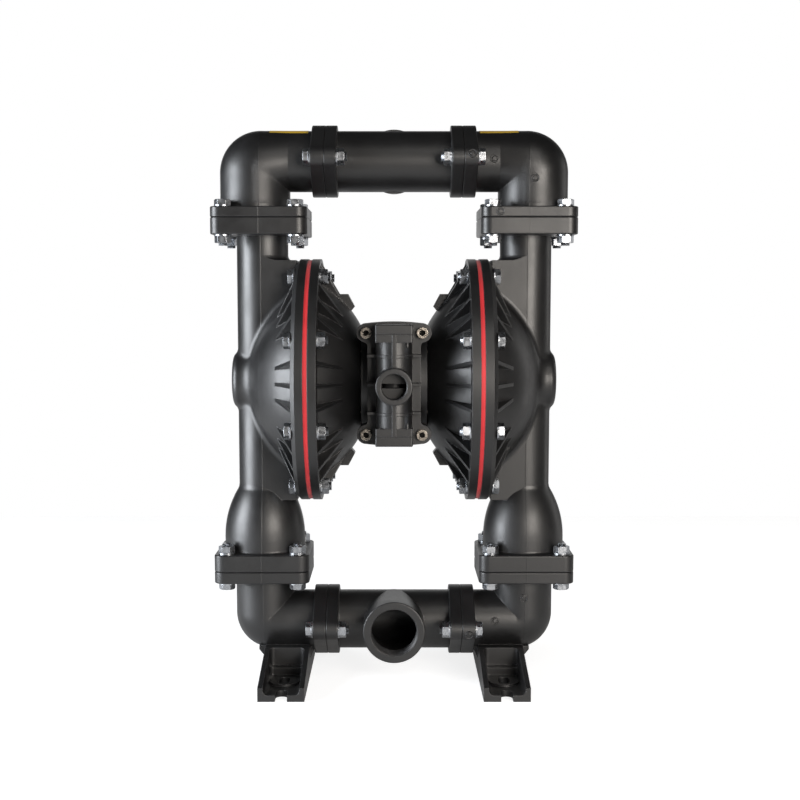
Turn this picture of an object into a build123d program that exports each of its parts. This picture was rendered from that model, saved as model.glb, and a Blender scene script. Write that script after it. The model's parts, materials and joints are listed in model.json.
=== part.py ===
# Double diaphragm pump with 2 inch ports, in millimetres.
# Origin on the floor under the middle of the pump, +X to the right seen from the port side,
# +Y to the rear, +Z up. Both halves are alike: the right-hand pieces are made and mirrored.
from build123d import *
from math import sqrt
import os

os.makedirs("parts", exist_ok=True)

# Pipes, ports and their joints
pipe_radius = 36.0
pipe_wall = 6.0
tee_half_length = 81.5
tee_flange = 14.0
elbow_flange = 16.0
joint_flange_step = 6.5
joint_bolt_edge = 15.5
joint_ear_radius = 13.0
joint_round = 1.2
port_thread_radius = 28.3
port_step = 1.0
suction_port_reach = 75.0
suction_thread_length = 26.0
thread_relief = 1.0
port_round = 1.5
discharge_port_reach = 54.0
discharge_thread_length = 24.0
discharge_port_step = 2.0
discharge_port_draft = 3.5
lower_bend = 10.0
upper_bend = 8.2
upper_bend_drop = 13.9

# Heights
suction_axis_height = 65.0
suction_axis_to_joint = 69.0
suction_joint_to_shaft = 228.0
shaft_to_discharge_joint = 193.5
discharge_joint_to_axis = 68.5

# Distances out from the middle plane
centre_body_half = 39.0
gasket = 1.0
air_cap_depth = 57.5
diaphragm_thickness = 5.0
column_offset = 56.5

# Air cap
air_chamber_radius = 117.0
air_dome_radius = 135.0
air_cap_wall = 6.0
air_cap_flange = 10.0
air_rib_reach = 30.0
lug_width = 20.0
lug_top = 104.0
lug_height = 20.0
lug_reach = 14.0
lug_lip = (4.0, 5.0)

# Fluid cap
fluid_chamber_radius = 109.0
fluid_chamber_depth = 68.5
fluid_cap_wall = 7.0
fluid_cap_flange = 14.0
flange_edge = 12.0
rim_round = 4.5
fluid_rib_reach = 22.0
rib_thickness = 4.0
rib_sink = 1.0
rib_foot = 4.0
boss_radius = 34.5
boss_reach = 36.0
boss_round = 8.0
boss_blend = 18.0
crease_round = 9.0
web_round = 6.0
column_bore_radius = 25.0
column_wall = 6.0
web_half_height = 144.0

# Ball valves
ball_radius = 27.0
ball_lift = 14.0
ball_gap = 0.3
guide_gap = 0.8
seat_bore_radius = 22.0
seat_radius = 43.0
seat_height = 10.0
seat_gap = 0.1
chamber_wall = 8.0
ball_chamber_height = 26.0
bulge_height = 65.0
bulge_blend = 12.0
bulge_foot_round = 3.0
spot_gap = 0.5
guide_thickness = 6.0
guide_bore_radius = 13.0
elbow_chamber_radius = 37.0
elbow_chamber_wall = 5.0
elbow_chamber_offset = 8.0
seal_section = 2.6
chamber_taper = 2.0
seat_lip = 1.5
guide_head = 4.0

# Square flanges
square_bolt_to_wall = 11.3
square_edge = 14.35
square_corner = 12.0
square_round = 1.5
lower_cap_plate = 20.4
upper_cap_plate = 20.0
lower_elbow_plate = 14.0
upper_elbow_plate = 12.5

# Feet
foot_centre = 130.0
foot_width = 54.0
foot_half_length = 138.0
foot_wall = 6.0
foot_base = 7.5
foot_toe_height = 16.0
foot_heel_height = 38.0
pedestal_half = 40.0
ledge_half = 52.0
ledge_height = 16.5
foot_gusset_half = 20.0
foot_gusset_drop = 45.0
foot_gusset_out = 9.0
foot_gusset_in = 5.0
foot_gusset_rise = 11.0
slot_width = 13.0
slot_length = 26.0
slot_offset = 84.0
toe_notch_width = 14.0
toe_notch_depth = 21.0
slot_pad_radius = 18.0
slot_pad_height = 2.5

# Fasteners
bolt_radius = 5.0
bolt_hole_radius = 5.5
hex_width = 17.0
head_height = 6.4
nut_height = 8.0
washer_radius = 10.0
washer_height = 2.0
bolt_tail = 3.0
chamber_bolt_count = 8
chamber_bolt_inset = 17.0

# Shaft, washers and diaphragm
shaft_radius = 12.5
shaft_gap = 0.05
hole_gap = 2.0
stroke = 25.0
inner_washer_height = 9.5
outer_washer_height = 9.5
clamp_radius = 60.0
roll_depth = 14.0
roll_edge = 6.0
rim_inset = 1.0
washer_bolt_radius = 8.0
washer_bolt_hex = 24.0
washer_bolt_head = 10.0
washer_bolt_depth = 30.0
washer_bolt_spare = 2.0
washer_edge = 3.0
inner_washer_taper = 4.0
outer_washer_taper = 20.0
bushing_wall = 4.0
bushing_length = 20.0
seal_wall = 6.0
seal_length = 6.0

# Pilot rod
pilot_radius = 6.0
pilot_offset = 32.0
pilot_ratio = 0.2
pilot_bushing_wall = 3.0
pilot_bushing_length = 14.0
pilot_gap = 1.0

# Centre body and exhaust
centre_body_radius = 64.0
valve_face = 73.0
pad_depth = 20.0
exhaust_boss_radius = 24.0
exhaust_face = 70.0
exhaust_bore_radius = 12.0
muffler_radius = 24.0
muffler_length = 54.0
muffler_neck = 4.0
muffler_slot_count = 12
muffler_slot_width = 3.0
muffler_slot_depth = 3.0
muffler_slot_inset = 8.0
muffler_wall = 4.0
muffler_thread = 12.0

# Air valve
valve_plate = 10.0
waist_inset = 1.5
valve_screw_z = 59.0
valve_ear_radius = 11.0
valve_arch = 2.0
valve_ear_round = 5.0
chest_radius = 21.0
chest_axis = 101.0
chest_half_height = 57.7
chest_end_width = 43.0
chest_end_height = 8.7
end_gap = 0.3
end_corner = 2.0
chest_rib = 3.0
chest_rib_height = 33.0
chest_rib_step = 1.0
front_rib = 4.5
front_rib_step = 1.5
cap_height = 10.6
spool_radius = 13.0
spool_gap = 0.15
spool_travel = 12.0
land_length = 16.0
land_core = 8.0
cup_height = 4.0
cup_depth = 4.0
inlet_radius = 21.0
inlet_bore_radius = 15.15
inlet_length = 22.0
inlet_depth = 20.0
inlet_slot_width = 28.0
inlet_slot_height = 5.0
socket_screw_radius = 4.0
socket_head_radius = 6.5
socket_head_height = 8.0
socket_key_width = 6.0
valve_screw_length = 25.0
cap_screw_radius = 2.5
cap_screw_head = 4.5
cap_screw_length = 14.0
cap_screw_inset = 5.5
cap_screw_key = 3.0
cap_screw_sink = 4.0
screw_gap = 0.3
body_screw_circle = 48.0
body_screw_length = 22.0

# Places that follow from the sizes above
suction_axis = suction_axis_height
suction_joint = suction_axis + suction_axis_to_joint
shaft_height = suction_joint + suction_joint_to_shaft
discharge_joint = shaft_height + shaft_to_discharge_joint
discharge_axis = discharge_joint + discharge_joint_to_axis

air_cap_back = centre_body_half + gasket
diaphragm_inner = air_cap_back + air_cap_depth
diaphragm_outer = diaphragm_inner + diaphragm_thickness
fluid_cap_back = diaphragm_outer + fluid_cap_flange
column_x = diaphragm_outer + column_offset

pipe_bore_radius = pipe_radius - pipe_wall
port_radius = pipe_radius + port_step
joint_flange_radius = pipe_radius + joint_flange_step
joint_bolt_y = joint_flange_radius + joint_bolt_edge
bolt_circle = air_chamber_radius + chamber_bolt_inset
disc_radius = bolt_circle + flange_edge
ball_chamber_radius = seat_radius - chamber_taper
bulge_radius = ball_chamber_radius + chamber_wall
column_radius = column_bore_radius + column_wall
square_bolt = (bulge_radius + square_bolt_to_wall) / sqrt(2)
square_half = square_bolt + square_edge
seat_mouth_radius = ball_radius - seat_lip
ball_seat_radius = ball_radius + ball_gap
ball_rise = seat_height + sqrt(ball_seat_radius**2 - seat_mouth_radius**2)
valve_screw_x = centre_body_half - socket_head_radius
valve_waist = valve_screw_x - waist_inset
chest_front = chest_axis + chest_radius
inlet_reach = chest_front + inlet_length

# Spheres of the two domes, from their rim radius and depth
fluid_sphere = (fluid_chamber_radius**2 + fluid_chamber_depth**2) / (2 * fluid_chamber_depth)
fluid_sphere_x = diaphragm_outer + fluid_chamber_depth - fluid_sphere
air_sphere_x = diaphragm_inner + sqrt(air_dome_radius**2 - air_chamber_radius**2)
boss_end = column_x + boss_reach


# Basic solids by their limits along an axis
def rod_x(radius, start, end):
    return Pos((start + end) / 2, 0, 0) * Rot(0, 90, 0) * Cylinder(radius, end - start)


def rod_y(radius, start, end):
    return Pos(0, (start + end) / 2, 0) * Rot(90, 0, 0) * Cylinder(radius, end - start)


def rod_z(radius, start, end):
    return Pos(0, 0, (start + end) / 2) * Cylinder(radius, end - start)


def block(x_limits, y_limits, z_limits):
    centre = [(low + high) / 2 for low, high in (x_limits, y_limits, z_limits)]
    size = [high - low for low, high in (x_limits, y_limits, z_limits)]
    return Pos(*centre) * Box(*size)


def side_face(*points):
    """Face in the XZ plane from its corner points."""
    return Plane.XZ * make_face(Polyline(*points, close=True))


def turned_x(*points):
    """Solid turned about the X axis from (x, radius) points."""
    return revolve(side_face(*points), Axis.X)


def turned_z(*points):
    """Solid turned about the Z axis from (radius, z) points."""
    return revolve(side_face(*points), Axis.Z)


def sphere_slice(centre, radius, start, end=None):
    """Slice of a sphere on the X axis between two places, or up to its far end."""
    rim = (start, sqrt(radius**2 - (start - centre)**2))
    last_x = centre + radius if end is None else end
    last = (last_x, 0 if end is None else sqrt(radius**2 - (end - centre)**2))
    middle_x = (start + last_x) / 2
    arc = ThreePointArc(rim, (middle_x, sqrt(radius**2 - (middle_x - centre)**2)), last)
    corners = [(last_x, 0), (start, 0), rim]
    sides = Polyline(*(corners if end is None else [last, *corners]))
    return revolve(Plane.XZ * make_face([*arc.edges(), *sides.edges()]), Axis.X)


def plate_y(outline, start, thickness):
    """Plate with an XZ outline, from y = start towards the front."""
    return Pos(0, start, 0) * extrude(Plane.XZ * outline, thickness)


def left_of(shape):
    return mirror(shape, about=Plane.YZ)


def both_sides(shapes):
    return shapes + [left_of(shape) for shape in shapes]


def save(name, *shapes):
    """Write one piece, or a group of like pieces, as parts/NAME.step."""
    pieces = [solid for shape in shapes for solid in shape.solids()]
    whole = pieces[0] if len(pieces) == 1 else Compound(children=pieces)
    whole.label = name
    export_step(whole, f"parts/{name}.step")


# Fasteners stand on z = 0 with the head up
def hex_bar(width, height):
    bar = extrude(RegularPolygon(width / 2, 6, major_radius=False), height)
    corner = width / sqrt(3)
    drop = (corner - width / 2) / sqrt(3)
    cone = turned_z((0, 0), (corner, 0), (corner, height - drop), (width / 2, height), (0, height))
    return bar & cone


def hex_bolt(length):
    return hex_bar(hex_width, head_height) + rod_z(bolt_radius, -length, 0)


def hex_nut():
    nut = Pos(0, 0, nut_height) * Rot(180, 0, 0) * hex_bar(hex_width, nut_height)
    return nut - rod_z(bolt_radius + seat_gap, -1, nut_height + 1)


def washer():
    ring = rod_z(washer_radius, 0, washer_height)
    return ring - rod_z(bolt_radius + seat_gap, -1, washer_height + 1)


def socket_screw(radius, head_radius, height, key_width, length):
    head = rod_z(head_radius, 0, height)
    head = chamfer(head.edges().sort_by(Axis.Z)[-1], screw_gap)
    key = extrude(RegularPolygon(key_width / 2, 6, major_radius=False), height)
    key = Pos(0, 0, height / 2) * key
    return head + rod_z(radius, -length, 0) - key


def fastener_sets(grip, places):
    """Bolts, nuts and washers through a grip; each place has the head side up."""
    bolt = Pos(0, 0, washer_height) * hex_bolt(grip + 2 * washer_height + nut_height + bolt_tail)
    nut = Pos(0, 0, -grip - washer_height - nut_height) * hex_nut()
    rings = [washer(), Pos(0, 0, -grip - washer_height) * washer()]
    bolts = [place * bolt for place in places]
    nuts = [place * nut for place in places]
    washers = [place * ring for place in places for ring in rings]
    return bolts, nuts, washers


# Round the diaphragm rim the bolts keep clear of the four quarter points
chamber_bolt_angles = [360 / chamber_bolt_count * (k + 0.5) for k in range(chamber_bolt_count)]


def around_x(angle, radius):
    """Place on a circle about the X axis, turned so that its own Z points outward."""
    return Rot(angle, 0, 0) * Pos(0, 0, radius)


def rim_holes(radius, start, end):
    return [around_x(angle, bolt_circle) * rod_x(radius, start, end) for angle in chamber_bolt_angles]


def square_places(z, flip=0):
    corners = [(x, y) for x in (-square_bolt, square_bolt) for y in (-square_bolt, square_bolt)]
    return [Pos(column_x + x, y, z) * Rot(flip, 0, 0) for x, y in corners]


def joint_places(z):
    face = tee_half_length + elbow_flange
    return [Pos(face, y, z) * Rot(0, 90, 0) for y in (-joint_bolt_y, joint_bolt_y)]


def square_plate(low, high):
    plate = extrude(RectangleRounded(2 * square_half, 2 * square_half, square_corner), high - low)
    rims = plate.edges().group_by(Axis.Z)
    return Pos(column_x, 0, low) * fillet(rims[0] + rims[-1], square_round)


def square_holes(low, high):
    return [place * rod_z(bolt_hole_radius, 0, high - low) for place in square_places(low)]


def joint_plate(start, thickness):
    """Pipe flange with an ear in front and behind, from x = start outward."""
    ears = [Pos(0, y, 0) * Circle(joint_ear_radius) for y in (-joint_bolt_y, joint_bolt_y)]
    outline = make_hull([edge for part in [Circle(joint_flange_radius), *ears] for edge in part.edges()])
    plate = extrude(outline, thickness)
    rims = plate.edges().group_by(Axis.Z)
    plate = Pos(start, 0, 0) * Rot(0, 90, 0) * fillet(rims[0] + rims[-1], joint_round)
    holes = [Pos(0, y, 0) * rod_x(bolt_hole_radius, start, start + thickness)
             for y in (-joint_bolt_y, joint_bolt_y)]
    return plate - holes


# Ball valves
def bulge(radius, top_radius, height):
    """Turned solid with a straight foot and a shoulder that curves in, then out into the column."""
    straight = ball_chamber_height + seat_height
    foot = (radius, straight)
    top = (top_radius, straight + height)
    step = radius - top_radius
    share = bulge_blend * 2 * step / (step**2 + height**2)
    join = (top_radius + share * step, top[1] - share * height)
    shoulder = TangentArc(foot, join, tangent=(0, 1))
    blend = TangentArc(top, join, tangent=(0, -1))
    sides = Polyline(top, (0, top[1]), (0, 0), (radius, 0), foot)
    return revolve(Plane.XZ * make_face([shoulder, blend, *sides.edges()]), Axis.Z)


def corner_ring(radius, height, size):
    """Concave ring that fills the corner between an upright round wall and the level face under it."""
    centre = (radius + size, height + size)
    middle = (centre[0] - size / sqrt(2), centre[1] - size / sqrt(2))
    arc = ThreePointArc((radius, centre[1]), middle, (centre[0], height))
    sides = Polyline((centre[0], height), (centre[0], height - 1), (radius - 1, height - 1),
                     (radius - 1, centre[1]), (radius, centre[1]))
    return revolve(Plane.XZ * make_face([arc, *sides.edges()]), Axis.Z)


def ball_sweep():
    """Space the ball needs from its seat up to its stop."""
    radius = ball_radius + guide_gap
    rest = rod_z(radius, 0, ball_rise + ball_lift)
    return rest + Pos(0, 0, ball_rise + ball_lift) * Sphere(radius)


def ball_guides(angles, reach, top):
    """Radial guide bars that also stop the ball, standing on the seat."""
    bars = [Rot(0, 0, angle) * block((0, reach), (-guide_thickness / 2, guide_thickness / 2), (seat_height, top))
            for angle in angles]
    return Part() + bars - ball_sweep() - rod_z(guide_bore_radius, 0, top)


def valve_seat():
    ring = rod_z(seat_radius - seat_gap, 0, seat_height)
    ring -= rod_z(seat_bore_radius, 0, seat_height)
    ring -= Pos(0, 0, ball_rise) * Sphere(ball_seat_radius)
    middle = (seat_radius + pipe_bore_radius) / 2
    groove = rod_z(middle + seal_section, 0, seal_section) - rod_z(middle - seal_section, 0, seal_section)
    return ring - groove


def seat_ring():
    middle = (seat_radius + pipe_bore_radius) / 2
    return Pos(0, 0, seal_section / 2) * Torus(middle, seal_section / 2)


# Outer cast cover of one chamber
def ribs(count, angle_step, corners, skip):
    """Gusset ribs round the X axis, left out where a bolt stands."""
    face = side_face(*corners)
    rib = Pos(0, rib_thickness / 2, 0) * extrude(face, rib_thickness)
    angles = [angle_step * k for k in range(count)]
    kept = [angle for angle in angles if min(abs(angle - other) for other in skip) > angle_step / 2]
    return [Rot(angle, 0, 0) * rib for angle in kept]


def dome_and_boss(centre, radius, start):
    """Spherical dome that sweeps out into the round boss, turned about the X axis."""
    hollow_radius = boss_radius + boss_blend
    hollow_x = centre + sqrt((radius + boss_blend)**2 - hollow_radius**2)
    share = radius / (radius + boss_blend)
    join = (centre + share * (hollow_x - centre), share * hollow_radius)
    rim = (start, sqrt(radius**2 - (start - centre)**2))
    round_start = (boss_end - boss_round, boss_radius)
    round_end = (boss_end, boss_radius - boss_round)
    dome = TangentArc(rim, join, tangent=(rim[1], centre - start))
    neck = TangentArc((hollow_x, boss_radius), join, tangent=(-1, 0))
    corner = TangentArc(round_start, round_end, tangent=(1, 0))
    sides = Polyline(round_end, (boss_end, 0), (start, 0), rim)
    top = Line((hollow_x, boss_radius), round_start)
    return revolve(Plane.XZ * make_face([dome, neck, corner, top, *sides.edges()]), Axis.X)


def fluid_cap():
    outer_sphere = fluid_sphere + fluid_cap_wall
    flange = turned_x(
        (diaphragm_outer, 0),
        (diaphragm_outer, disc_radius),
        (fluid_cap_back - rim_round, disc_radius),
        (fluid_cap_back, disc_radius - rim_round),
        (fluid_cap_back, 0))
    dome = dome_and_boss(fluid_sphere_x, outer_sphere, diaphragm_outer + 1)
    rib_start = disc_radius - rim_round
    rib_end_x = fluid_cap_back + fluid_rib_reach
    rib_end_r = sqrt(outer_sphere**2 - (rib_end_x - fluid_sphere_x)**2)
    rib_corners = ((fluid_cap_back - 1, rib_start), (fluid_cap_back, rib_start),
                   (rib_end_x, rib_end_r - rib_sink), (rib_end_x - rib_foot, rib_end_r - rib_foot),
                   (fluid_cap_back - 1, rib_end_r - rib_foot))
    rib_set = ribs(4 * chamber_bolt_count, 90 / chamber_bolt_count, rib_corners, chamber_bolt_angles)
    low = suction_joint - shaft_height
    high = discharge_joint - shaft_height
    web = Pos(0, 0, -web_half_height) * extrude(web_outline(column_radius), 2 * web_half_height)
    # The crease where the dome meets the web and the column is filled before anything crosses it
    dome_and_web = dome + web
    crease = [edge for edge in new_edges(dome, web, combined=dome_and_web)
              if edge.bounding_box().size.X > seat_gap and abs(edge.center().Y) > seat_gap]
    dome_and_web = fillet(crease, crease_round)
    column = Pos(column_x, 0, 0) * rod_z(column_radius, low, high)
    valve = Pos(column_x, 0, low) * bulge(bulge_radius, column_radius, bulge_height)
    valve += Pos(column_x, 0, low) * corner_ring(bulge_radius, lower_cap_plate, bulge_foot_round)
    valve += Pos(column_x, 0, 0) * corner_ring(column_radius, web_half_height, web_round) & block(
        (diaphragm_outer + 1, column_x), (-column_radius, column_radius), (low, high))
    plates = [square_plate(low, low + lower_cap_plate), square_plate(high - upper_cap_plate, high)]
    body = flange + dome_and_web + rib_set + column + valve + plates

    inside = sphere_slice(fluid_sphere_x, fluid_sphere, diaphragm_outer - 1)
    core = extrude(web_outline(column_bore_radius, fluid_cap_back + column_wall),
                   2 * (web_half_height - chamber_wall))
    inside += Pos(0, 0, chamber_wall - web_half_height) * core
    inside += Pos(column_x, 0, 0) * rod_z(column_bore_radius, low + seat_height, high + 1)
    chamber = bulge(ball_chamber_radius, column_bore_radius, bulge_height - chamber_wall)
    guide_top = ball_rise + ball_lift + ball_radius + guide_bore_radius
    guides = ball_guides((45, 135, 225, 315), ball_chamber_radius, guide_top)
    inside += Pos(column_x, 0, low) * chamber
    inside -= Pos(column_x, 0, low) * guides
    inside += Pos(column_x, 0, low) * rod_z(seat_radius, -1, seat_height)
    body -= inside
    body -= rim_holes(bolt_hole_radius, diaphragm_outer, fluid_cap_back)
    body -= square_holes(low, low + lower_cap_plate)
    body -= square_holes(high - upper_cap_plate, high)
    # Spot faces keep the washers clear of the rounded foot of the ball chamber
    body -= [place * rod_z(washer_radius + spot_gap, 0, bulge_foot_round + washer_height)
             for place in square_places(low + lower_cap_plate)]
    return Pos(0, 0, shaft_height) * body


def web_outline(half_width, start=None):
    """Web between the flange and the column, round at the column."""
    start = fluid_cap_back if start is None else start
    outline = Pos(column_x, 0, 0) * Circle(half_width)
    outline += Pos((start + column_x) / 2, 0, 0) * Rectangle(column_x - start, 2 * half_width)
    return outline


# Inner cast cover of one chamber
def air_cap():
    outer_sphere = air_dome_radius + air_cap_wall
    flange = turned_x(
        (diaphragm_inner, 0),
        (diaphragm_inner, disc_radius),
        (diaphragm_inner - air_cap_flange, disc_radius),
        (diaphragm_inner - air_cap_flange, 0))
    dome = sphere_slice(air_sphere_x, outer_sphere, air_cap_back, diaphragm_inner - 1)
    rib_start = disc_radius - rim_round
    root = diaphragm_inner - air_cap_flange
    rib_end_x = root - air_rib_reach
    rib_end_r = sqrt(outer_sphere**2 - (air_sphere_x - rib_end_x)**2)
    rib_corners = ((root + 1, rib_start), (root, rib_start), (rib_end_x, rib_end_r - rib_sink),
                   (rib_end_x + rib_foot, rib_end_r - rib_foot), (root + 1, rib_end_r - rib_foot))
    rib_set = ribs(4 * chamber_bolt_count, 90 / chamber_bolt_count, rib_corners, chamber_bolt_angles)
    lug_base = lug_top - lug_height
    lug_outer = air_sphere_x - sqrt(outer_sphere**2 - lug_top**2)
    lug_inner = air_sphere_x - sqrt(outer_sphere**2 - lug_base**2)
    lug_face = side_face((lug_outer + rib_foot, lug_top), (lug_outer - lug_reach, lug_top),
                         (lug_inner - lug_lip[0], lug_base + lug_lip[1]),
                         (lug_inner + rib_sink, lug_base - rib_sink), (lug_outer + rib_foot, lug_base - rib_sink))
    lug = Pos(0, lug_width / 2, 0) * extrude(lug_face, lug_width)
    body = flange + dome + rib_set + [lug, Rot(180, 0, 0) * lug]
    body -= sphere_slice(air_sphere_x, air_dome_radius, air_cap_back + air_cap_wall, diaphragm_inner + 1)
    body -= rim_holes(bolt_hole_radius, diaphragm_inner - air_cap_flange, diaphragm_inner)
    floor = (air_cap_back - 1, air_cap_back + air_cap_wall + 1)
    body -= rod_x(shaft_radius + hole_gap, *floor)
    body -= Pos(0, -pilot_offset, 0) * rod_x(pilot_radius + pilot_gap, *floor)
    body -= Pos(0, pilot_offset, 0) * rod_x(pilot_radius, *floor)
    body -= [place * rod_x(socket_screw_radius + seat_gap, *floor) for place in body_screw_places()]
    return Pos(0, 0, shaft_height) * body


def body_screw_places():
    return [around_x(angle, body_screw_circle) for angle in (45, 135, 225, 315)]


# Flexible disc between the two covers, with a rolled ring between rim and washers
def diaphragm():
    middle = (diaphragm_inner + diaphragm_outer) / 2
    half = diaphragm_thickness / 2
    inner = clamp_radius + roll_edge
    outer = fluid_chamber_radius - rim_inset
    centre = (inner + outer) / 2
    low, high = middle - half, middle + half
    edge = disc_radius - rim_inset
    hole = washer_bolt_radius + rim_inset
    rim = turned_x((low, outer - half), (high, outer - half), (high, edge), (low, edge))
    disc = turned_x((low, hole), (high, hole), (high, inner + half), (low, inner + half))
    outer_arc = ThreePointArc((low, inner - half / 2), (low - roll_depth, centre), (low, outer + half / 2))
    inner_arc = ThreePointArc((high, outer - half / 2), (high - roll_depth, centre), (high, inner + half / 2))
    ends = [Line((low, outer + half / 2), (high, outer - half / 2)),
            Line((high, inner + half / 2), (low, inner - half / 2))]
    ring = revolve(Plane.XZ * make_face([outer_arc, inner_arc, *ends]), Axis.X)
    body = rim + disc + ring
    body -= rim_holes(bolt_hole_radius, diaphragm_inner, diaphragm_outer)
    return Pos(0, 0, shaft_height) * body


def air_cap_gasket():
    ring = rod_x(air_floor_radius(), centre_body_half, air_cap_back)
    ring -= rod_x(shaft_radius + hole_gap, centre_body_half - 1, air_cap_back + 1)
    for y in (-pilot_offset, pilot_offset):
        ring -= Pos(0, y, 0) * rod_x(pilot_radius + pilot_gap, centre_body_half - 1, air_cap_back + 1)
    ring -= [place * rod_x(socket_screw_radius + seat_gap, centre_body_half - 1, air_cap_back + 1)
             for place in body_screw_places()]
    return Pos(0, 0, shaft_height) * ring


def air_floor_radius():
    return min(centre_body_radius, sqrt(air_dome_radius**2 - (air_sphere_x - air_cap_back)**2))


# Pipes
def bend(radius, offset, turn):
    """Quarter bend tighter than the pipe is wide: the inner side closes to a crease."""
    section = Pos(offset, 0, 0) * Circle(radius)
    section &= Pos(radius + offset, 0, 0) * Rectangle(2 * (radius + offset), 2 * radius)
    return revolve(section, Axis.Y, turn)


def lower_elbow_core(radius):
    corner = Pos(column_x - lower_bend, 0, suction_axis + lower_bend) * bend(radius, lower_bend, 90)
    level = Pos(0, 0, suction_axis) * rod_x(radius, tee_half_length, column_x - lower_bend)
    upright = Pos(column_x, 0, 0) * rod_z(radius, suction_axis + lower_bend, suction_joint)
    return corner + level + upright


def foot():
    half = foot_width / 2
    length = foot_half_length
    # One long channel: a base, two side walls rising to the heel and the pedestal across its middle
    wall_face = make_face(Polyline((-length, 0), (length, 0), (length, foot_toe_height),
                                   (pedestal_half, foot_heel_height), (-pedestal_half, foot_heel_height),
                                   (-length, foot_toe_height), close=True))
    body = Pos(-half, 0, 0) * extrude(Plane.YZ * wall_face, foot_width)
    inner = foot_width - 2 * foot_wall
    for side in (-1, 1):
        for start, floor in ((ledge_half, foot_base), (pedestal_half, ledge_height)):
            low, high = sorted((side * start, side * (length + foot_wall)))
            pocket = block((-inner / 2, inner / 2), (low, high), (floor, suction_axis))
            inner_end = pocket.edges().filter_by(Axis.Z).sort_by(Axis.Y, reverse=side < 0)[:2]
            long_edges = pocket.edges().filter_by(Axis.Y).group_by(Axis.Z)[0]
            body -= fillet(inner_end + long_edges, foot_wall)
        pad = Pos(0, side * slot_offset, foot_base) * Cylinder(slot_pad_radius, 2 * slot_pad_height)
        body += pad & block((-inner / 2, inner / 2), (-length, length), (0, suction_axis))
        slot = extrude(SlotOverall(slot_length, slot_width, rotation=90), suction_axis)
        body -= Pos(0, side * slot_offset, -1) * slot
        notch = extrude(SlotOverall(2 * toe_notch_depth, toe_notch_width, rotation=90), foot_toe_height)
        body -= Pos(0, side * length, -1) * notch
    # Gussets from both side walls up to the pipe
    gusset = side_face((-half, suction_axis - foot_gusset_drop), (half, suction_axis - foot_gusset_drop),
                       (half + foot_gusset_out, suction_axis - foot_gusset_drop + foot_gusset_rise),
                       (half + foot_gusset_out, suction_axis - pipe_bore_radius),
                       (-half - foot_gusset_in, suction_axis - pipe_bore_radius),
                       (-half - foot_gusset_in, suction_axis - foot_gusset_drop + foot_gusset_rise))
    body += Pos(0, foot_gusset_half, 0) * extrude(gusset, 2 * foot_gusset_half)
    return Pos(foot_centre, 0, 0) * body


def suction_elbow():
    body = lower_elbow_core(pipe_radius) + foot()
    body += square_plate(suction_joint - lower_elbow_plate, suction_joint)
    body += Pos(0, 0, suction_axis) * joint_plate(tee_half_length, elbow_flange)
    body -= lower_elbow_core(pipe_bore_radius)
    body -= square_holes(suction_joint - lower_elbow_plate, suction_joint)
    return body


def upper_elbow_core(chamber_radius, radius, base):
    bend_x = column_x + elbow_chamber_offset - upper_bend
    bend_z = discharge_axis - upper_bend_drop
    level_z = bend_z + upper_bend
    corner = Pos(bend_x, 0, bend_z) * bend(chamber_radius, upper_bend, -90)
    upright = Pos(column_x + elbow_chamber_offset, 0, 0) * rod_z(chamber_radius, base, bend_z)
    taper_end = column_x + elbow_chamber_offset - elbow_chamber_radius - elbow_chamber_wall
    taper = loft([Plane((bend_x, 0, level_z), x_dir=(0, 1, 0), z_dir=(-1, 0, 0)) * Circle(chamber_radius),
                  Plane((taper_end, 0, discharge_axis), x_dir=(0, 1, 0), z_dir=(-1, 0, 0)) * Circle(radius)])
    level = Pos(0, 0, discharge_axis) * rod_x(radius, tee_half_length, taper_end)
    return corner + upright + taper + level


def discharge_elbow():
    chamber_outer = elbow_chamber_radius + elbow_chamber_wall
    body = upper_elbow_core(chamber_outer, pipe_radius, discharge_joint)
    body += square_plate(discharge_joint, discharge_joint + upper_elbow_plate)
    body += Pos(0, 0, discharge_axis) * joint_plate(tee_half_length, elbow_flange)
    inside = upper_elbow_core(elbow_chamber_radius, pipe_bore_radius, discharge_joint + seat_height)
    guide_top = ball_rise + ball_lift + ball_radius + guide_head
    guides = ball_guides((0, 90, 270), chamber_outer + elbow_chamber_offset, guide_top)
    inside -= Pos(column_x, 0, discharge_joint) * guides
    inside += Pos(column_x, 0, discharge_joint) * rod_z(seat_radius, -1, seat_height)
    body -= inside
    body -= square_holes(discharge_joint, discharge_joint + upper_elbow_plate)
    return body


def tee():
    body = rod_x(pipe_radius, -tee_half_length, tee_half_length)
    body += joint_plate(tee_half_length - tee_flange, tee_flange)
    body += joint_plate(-tee_half_length, tee_flange)
    return body


def suction_tee():
    port = rod_y(port_radius, -suction_port_reach, 0)
    body = tee() + fillet(port.edges().sort_by(Axis.Y)[0], port_round)
    body -= rod_x(pipe_bore_radius, -tee_half_length, tee_half_length)
    body -= rod_y(port_thread_radius, -suction_port_reach, 0)
    body -= rod_y(port_thread_radius + thread_relief, suction_thread_length - suction_port_reach, 0)
    body -= [ring_groove(side) for side in (-1, 1)]
    return Pos(0, 0, suction_axis) * body


def discharge_tee():
    root = pipe_radius + discharge_port_step
    mouth = root - discharge_port_draft
    boss = Rot(-90, 0, 0) * turned_z((0, 0), (root, 0), (mouth, discharge_port_reach),
                                     (0, discharge_port_reach))
    body = tee() + boss
    body -= rod_x(pipe_bore_radius, -tee_half_length, tee_half_length)
    body -= rod_y(port_thread_radius, 0, discharge_port_reach)
    body -= rod_y(port_thread_radius + thread_relief, 0, discharge_port_reach - discharge_thread_length)
    body -= [ring_groove(side) for side in (-1, 1)]
    return Pos(0, 0, discharge_axis) * body


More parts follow.
